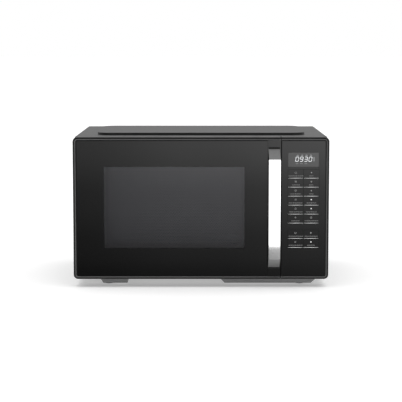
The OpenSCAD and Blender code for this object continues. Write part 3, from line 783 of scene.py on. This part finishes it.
def digit(bm, character, x, z, y0, y1):
    """One slanted seven-segment digit with its lower left corner at x, z."""
    w, h = DIGIT_W, DIGIT_H
    corners = {
        "bl": (0, 0), "br": (w, 0), "ml": (0, h / 2), "mr": (w, h / 2), "tl": (0, h), "tr": (w, h),
    }
    for lit, (a, b) in zip(SEGMENTS[character], SEGMENT_ENDS):
        if not lit:
            continue
        start, end = Vector(corners[a]), Vector(corners[b])
        along = (end - start).normalized() * SEGMENT_GAP
        points = bar_outline(start + along, end - along, STROKE)
        plate(bm, [(x + p.x + SLANT * p.y, z + p.y) for p in points], y0, y1)


def display_figures(bm):
    """Four digits, with small arcs over them, marks under them and a dim bar beside them."""
    y1 = LENS_LOW.y - 0.01 * MM
    y0 = y1 - GLOW_T
    left = LENS_LOW.x + FIRST_DIGIT_X
    low = LENS_LOW.z + FIRST_DIGIT_Z
    for i, character in enumerate("0930"):
        digit(bm, character, left + i * DIGIT_PITCH, low, y0, y1)
    for i in range(4):
        centre = left + i * DIGIT_PITCH + DIGIT_W / 2 + SLANT * DIGIT_H + 0.3 * MM
        arc(bm, centre, low + DIGIT_H + 2.6 * MM, 2.4 * MM, 0.75 * MM, y0, y1, 1)
    for i in range(3):
        centre = left + i * DIGIT_PITCH + DIGIT_W / 2 + 0.4 * MM
        rounded_bar(bm, centre, low - 4.2 * MM, 5.4 * MM, 1.1 * MM, y0, y1, 2)
    bar_x = left + 4 * DIGIT_PITCH + 1.7 * MM
    rounded_bar(bm, bar_x, low + DIGIT_H / 2, 3.0 * MM, 8.6 * MM, y0, y1, 2)


def arc(bm, x, z, radius, width, y0, y1, material):
    """A shallow arch, open downwards."""
    count = 8
    angles = [math.radians(35 + 110 * i / count) for i in range(count + 1)]
    centre_z, inner_r = z - radius * 0.45, radius - width
    outer = [(x + radius * math.cos(a), centre_z + radius * math.sin(a)) for a in angles]
    inner = [(x + inner_r * math.cos(a), centre_z + inner_r * math.sin(a)) for a in reversed(angles)]
    plate(bm, outer + inner, y0, y1, material)


def rounded_bar(bm, x, z, width, height, y0, y1, material):
    """A bar with round corners, centred on x, z."""
    r = min(width, height) * 0.45
    outline = []
    for sx, sz, start in ((1, 1, 0), (-1, 1, 90), (-1, -1, 180), (1, -1, 270)):
        corner_x, corner_z = x + sx * (width / 2 - r), z + sz * (height / 2 - r)
        for i in range(4):
            a = math.radians(start + 30 * i)
            outline.append((corner_x + r * math.cos(a), corner_z + r * math.sin(a)))
    plate(bm, outline, y0, y1, material)


def ring(bm, x, z, radius, width, y0, y1, material, start=0, sweep=360):
    """A ring, or part of one, drawn as short plates end to end."""
    count = max(6, int(sweep / 20))
    for i in range(count):
        a = math.radians(start + sweep * i / count)
        b = math.radians(start + sweep * (i + 1) / count)
        points = [(radius, a), (radius, b), (radius - width, b), (radius - width, a)]
        plate(bm, [(x + r * math.cos(t), z + r * math.sin(t)) for r, t in points], y0, y1, material)


def icon(bm, kind, x, z, y0, y1, material):
    """A small generic sign, about 4 mm across, of a kind from 0 to 7."""
    if kind == 0:
        for i in (-1, 0, 1):
            rounded_bar(bm, x + i * 1.3 * MM, z, 0.6 * MM, 3.4 * MM, y0, y1, material)
    elif kind == 1:
        ring(bm, x, z, 1.9 * MM, 0.55 * MM, y0, y1, material, 120, 300)
    elif kind == 2:
        rounded_bar(bm, x, z + 0.9 * MM, 3.8 * MM, 0.6 * MM, y0, y1, material)
        rounded_bar(bm, x, z - 0.9 * MM, 3.8 * MM, 0.6 * MM, y0, y1, material)
    elif kind == 3:
        ring(bm, x, z, 1.9 * MM, 0.5 * MM, y0, y1, material)
        rounded_bar(bm, x, z + 0.6 * MM, 0.5 * MM, 1.4 * MM, y0, y1, material)
    elif kind == 4:
        rounded_bar(bm, x, z, 3.6 * MM, 0.7 * MM, y0, y1, material)
        rounded_bar(bm, x, z + 1.2 * MM, 0.7 * MM, 1.4 * MM, y0, y1, material)
        rounded_bar(bm, x, z - 1.2 * MM, 0.7 * MM, 1.4 * MM, y0, y1, material)
    elif kind == 5:
        plate(bm, [(x - 1.4 * MM, z - 1.8 * MM), (x + 1.8 * MM, z), (x - 1.4 * MM, z + 1.8 * MM)],
              y0, y1, material)
    elif kind == 6:
        ring(bm, x, z - 0.4 * MM, 2.0 * MM, 0.55 * MM, y0, y1, material, 20, 140)
        rounded_bar(bm, x, z - 1.2 * MM, 3.6 * MM, 0.6 * MM, y0, y1, material)
    else:
        rounded_bar(bm, x, z, 2.3 * MM, 2.3 * MM, y0, y1, material)


# For each row: the sign's kind, its material (2 pale, 3 bright) and the label's length in mm,
# on the left key and on the right one
KEY_FACES = [
    ((1, 2, 27.0), (7, 2, 8.0)),
    ((0, 2, 13.0), (4, 2, 8.0)),
    ((3, 2, 21.0), (7, 2, 9.0)),
    ((2, 2, 26.0), (7, 3, 17.0)),
    ((6, 2, 24.0), (7, 3, 19.0)),
    ((4, 2, 15.0), (3, 2, 24.0)),
    ((1, 2, 26.0), (5, 2, 24.0)),
    ((6, 2, 25.0), (7, 3, 14.0)),
]
LABEL_PIECES = (1.7, 1.1, 2.3, 0.9, 1.9, 1.3)

# Heights above the key's lower edge, and the label marks' own height and spacing
UNDERLINE_Z = 0.5 * MM
LABEL_Z = 4.75 * MM
SIGN_Z = 11.0 * MM
LABEL_H = 0.95 * MM
LABEL_GAP = 0.45 * MM


def key_print(side, row):
    """A key's underline, sign and label marks, as one piece on that key."""
    low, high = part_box(f"key_{side}_{row}")
    kind, sign_material, label_length = KEY_FACES[row - 1][KEY_SIDES.index(side)]
    x = (low.x + high.x) / 2
    y1 = low.y - 0.005 * MM
    y0 = y1 - 0.05 * MM
    half = (high.x - low.x) / 2 - 0.5 * MM

    def build(bm):
        """Fills the mesh with the underline, the sign and the label marks."""
        # The underline is thickest in the middle and thins towards both ends
        z = low.z + UNDERLINE_Z
        count = 12
        upper = []
        for i in range(count + 1):
            thickness = (0.13 + 0.17 * math.sin(math.pi * i / count) ** 1.5) * MM
            upper.append((x + half * (2 * i / count - 1), z + thickness))
        lower = [(px, 2 * z - pz) for px, pz in reversed(upper)]
        plate(bm, upper + lower, y0, y1, 0)
        icon(bm, kind, x, low.z + SIGN_Z, y0, y1, sign_material)
        position, index = -label_length / 2 * MM, row
        while position < label_length / 2 * MM:
            length = LABEL_PIECES[index % len(LABEL_PIECES)] * MM
            middle = x + position + length / 2
            rounded_bar(bm, middle, low.z + LABEL_Z, length, LABEL_H, y0, y1, 1)
            position += length + LABEL_GAP
            index += 1

    return solid(f"key_print_{side}_{row}", build,
                 ["underline", "label", "icon", "icon_bright"], f"key_{side}_{row}_cap")


def coil(bm):
    """The latch's return spring: round wire wound in a helix."""
    wire_r, turns, steps, sides = 0.4 * MM, 7, 20, 8
    x, y = (SPRING_LOW.x + SPRING_HIGH.x) / 2, (SPRING_LOW.y + SPRING_HIGH.y) / 2
    coil_r = (SPRING_HIGH.x - SPRING_LOW.x) / 2 - wire_r
    low, rise = SPRING_LOW.z + wire_r, SPRING_HIGH.z - SPRING_LOW.z - 2 * wire_r
    rings = []
    for i in range(turns * steps + 1):
        turn = math.tau * i / steps
        z = low + rise * i / (turns * steps)
        loop = []
        for j in range(sides):
            side = math.tau * j / sides
            r = coil_r + wire_r * math.cos(side)
            place = (x + r * math.cos(turn), y + r * math.sin(turn), z + wire_r * math.sin(side))
            loop.append(bm.verts.new(place))
        rings.append(loop)
    for a, b in zip(rings, rings[1:]):
        for j in range(sides):
            k = (j + 1) % sides
            bm.faces.new((a[j], b[j], b[k], a[k])).smooth = True
    bm.faces.new(rings[0])
    bm.faces.new(rings[-1][::-1])


def build_pieces():
    """The door screen, the latch spring, the display's figures and the print on the keys."""
    solid("perforated_screen", perforated, ["screen_paint"], "door",
          ["door_screen"])
    spring = solid("latch_coil", coil, ["spring_steel"], "door", ["latch_spring"])
    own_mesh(spring)
    solid("display_figures", display_figures, ["digit", "symbol", "dim_symbol"], "cabinet")
    for side in KEY_SIDES:
        for row in KEY_ROWS:
            key_print(side, row)


# ---- Studio ----

CAMERA_LENS = 130.4
CAMERA_PLACE = (0.0, -2.904, 0.4634)
CAMERA_TILT = math.radians(90 - 6.235)

# The room's brightness in reflections: at each height, from straight down at -1 to straight up
# at 1, in front of the oven and behind it, and at each place from left to right in front
FRONT_UP = (
    (-1, 0.65), (-0.40, 0.6), (-0.27, 0.3), (-0.19, 0.10), (-0.158, 0.27), (-0.150, 0.44),
    (-0.139, 0.50), (-0.108, 0.85), (-0.068, 1.75), (-0.02, 1.8), (0.08, 0.8), (0.3, 0.3), (1, 0.22),
)
BACK_UP = ((-1, 0.65), (-0.3, 0.55), (-0.12, 0.35), (0.0, 0.78), (0.5, 0.95), (1, 0.22))
FRONT_ACROSS = ((-0.6, 0.5), (-0.09, 0.42), (0.0, 0.72), (0.09, 1.0), (0.6, 0.8))


def camera():
    """A long lens, a little above the oven and looking slightly down on it."""
    data = bpy.data.cameras.new("camera")
    data.sensor_width = 36
    data.lens = CAMERA_LENS
    data.clip_end = 200
    obj = bpy.data.objects.new("camera", data)
    obj.location = CAMERA_PLACE
    obj.rotation_euler = (CAMERA_TILT, 0, 0)
    bpy.context.scene.collection.objects.link(obj)
    bpy.context.scene.camera = obj


def studio_world():
    """White behind the oven, and in reflections a soft room, darker low down and to the left."""
    world = bpy.data.worlds.new("studio")
    bpy.context.scene.world = world
    world.use_nodes = True
    tree = world.node_tree
    tree.nodes.clear()
    new = tree.nodes.new
    link = tree.links.new
    split = new("ShaderNodeSeparateXYZ")
    link(new("ShaderNodeTexCoord").outputs["Generated"], split.inputs[0])

    def ramp(source, stops):
        """A smooth value along source, which runs from -1 to 1."""
        spread = new("ShaderNodeMapRange")
        spread.inputs["From Min"].default_value = -1
        link(source, spread.inputs["Value"])
        made = new("ShaderNodeValToRGB")
        made.color_ramp.interpolation = "EASE"
        elements = made.color_ramp.elements
        while len(elements) < len(stops):
            elements.new(0.5)
        top = max(v for _, v in stops)
        for element, (place, value) in zip(elements, stops):
            element.position = (place + 1) / 2
            element.color = (value / top,) * 3 + (1.0,)
        link(spread.outputs[0], made.inputs[0])
        scaled = new("ShaderNodeMath")
        scaled.operation = "MULTIPLY"
        scaled.inputs[1].default_value = top
        link(made.outputs[0], scaled.inputs[0])
        return scaled.outputs[0]

    def multiply(a, b):
        """The product of two sockets."""
        made = new("ShaderNodeMath")
        made.operation = "MULTIPLY"
        link(a, made.inputs[0])
        link(b, made.inputs[1])
        return made.outputs[0]

    front = multiply(ramp(split.outputs["Z"], FRONT_UP), ramp(split.outputs["X"], FRONT_ACROSS))
    back = ramp(split.outputs["Z"], BACK_UP)
    side = new("ShaderNodeMapRange")
    side.interpolation_type = "SMOOTHSTEP"
    side.inputs["From Min"].default_value = -0.3
    side.inputs["From Max"].default_value = 0.4
    link(split.outputs["Y"], side.inputs["Value"])
    room = new("ShaderNodeMix")
    link(side.outputs[0], room.inputs["Factor"])
    link(front, room.inputs["A"])
    link(back, room.inputs["B"])
    seen = new("ShaderNodeLightPath")
    background = new("ShaderNodeBackground")
    background.inputs["Color"].default_value = (1.0, 1.0, 1.0, 1.0)
    whole = new("ShaderNodeMix")
    link(seen.outputs["Is Camera Ray"], whole.inputs["Factor"])
    link(room.outputs["Result"], whole.inputs["A"])
    whole.inputs["B"].default_value = 1.0
    link(whole.outputs["Result"], background.inputs["Strength"])
    output = new("ShaderNodeOutputWorld")
    link(background.outputs[0], output.inputs["Surface"])


def floor():
    """A white table lit a little from below, which the oven's gloss doesn't mirror."""
    bm = bmesh.new()
    bmesh.ops.create_grid(bm, x_segments=8, y_segments=8, size=40)
    mesh = bpy.data.meshes.new("floor")
    bm.to_mesh(mesh)
    bm.free()
    obj = bpy.data.objects.new("floor", mesh)
    obj.location.z = -0.1 * MM
    bpy.context.scene.collection.objects.link(obj)
    s = Shader("floor")
    mesh.materials.append(s.surface(s.principled(
        Base_Color=s.mixed(s.noise(0.4, 2.0), grey(0.90), grey(0.92)),
        Roughness=0.9,
        Specular_IOR_Level=0.0,
        Emission_Color=grey(1.0),
        Emission_Strength=0.30,
    )))
    obj.visible_glossy = False


def lamp(name, kind, place, aim, energy, size=None, angle=None, only=None, mirrored=True):
    """A soft light at place, aimed at a point.

    only lists the objects that it lights, and mirrored says whether gloss shows it.
    """
    data = bpy.data.lights.new(name, kind)
    data.energy = energy
    if size:
        data.shape = "RECTANGLE"
        data.size, data.size_y = size
    if angle is not None:
        data.angle = angle
    obj = bpy.data.objects.new(name, data)
    obj.location = place
    obj.rotation_euler = (Vector(aim) - Vector(place)).to_track_quat("-Z", "Y").to_euler()
    obj.visible_camera = False
    obj.visible_glossy = mirrored
    bpy.context.scene.collection.objects.link(obj)
    if only:
        receivers = bpy.data.collections.new(name + "_receivers")
        for o in only:
            receivers.objects.link(o)
        obj.light_linking.receiver_collection = receivers


def lights():
    """A broad sun overhead, and a card that the handle's flat front mirrors."""
    lamp("overhead", "SUN", (0, -1, 3), (0, 0, 0), 1.9, angle=math.radians(80), mirrored=False)
    # The handle is bright from this height up, and the view falls on it with this slope there
    bright_from, view_slope = 81.4 * MM, 0.1413
    card_gap, card_x, card_w, card_high = 0.4, 0.158, 0.5, 0.62
    card_low = bright_from - card_gap * view_slope
    middle = (card_low + card_high) / 2
    place = (card_x, TRIM_LOW.y - card_gap, middle)
    lamp("handle_card", "AREA", place, (card_x, TRIM_LOW.y, middle), 1.15,
         size=(card_w, card_high - card_low), only=[nodes["handle_trim"]])


bpy.context.scene.view_settings.view_transform = "Standard"
dress_all()
build_pieces()
camera()
studio_world()
floor()
lights()
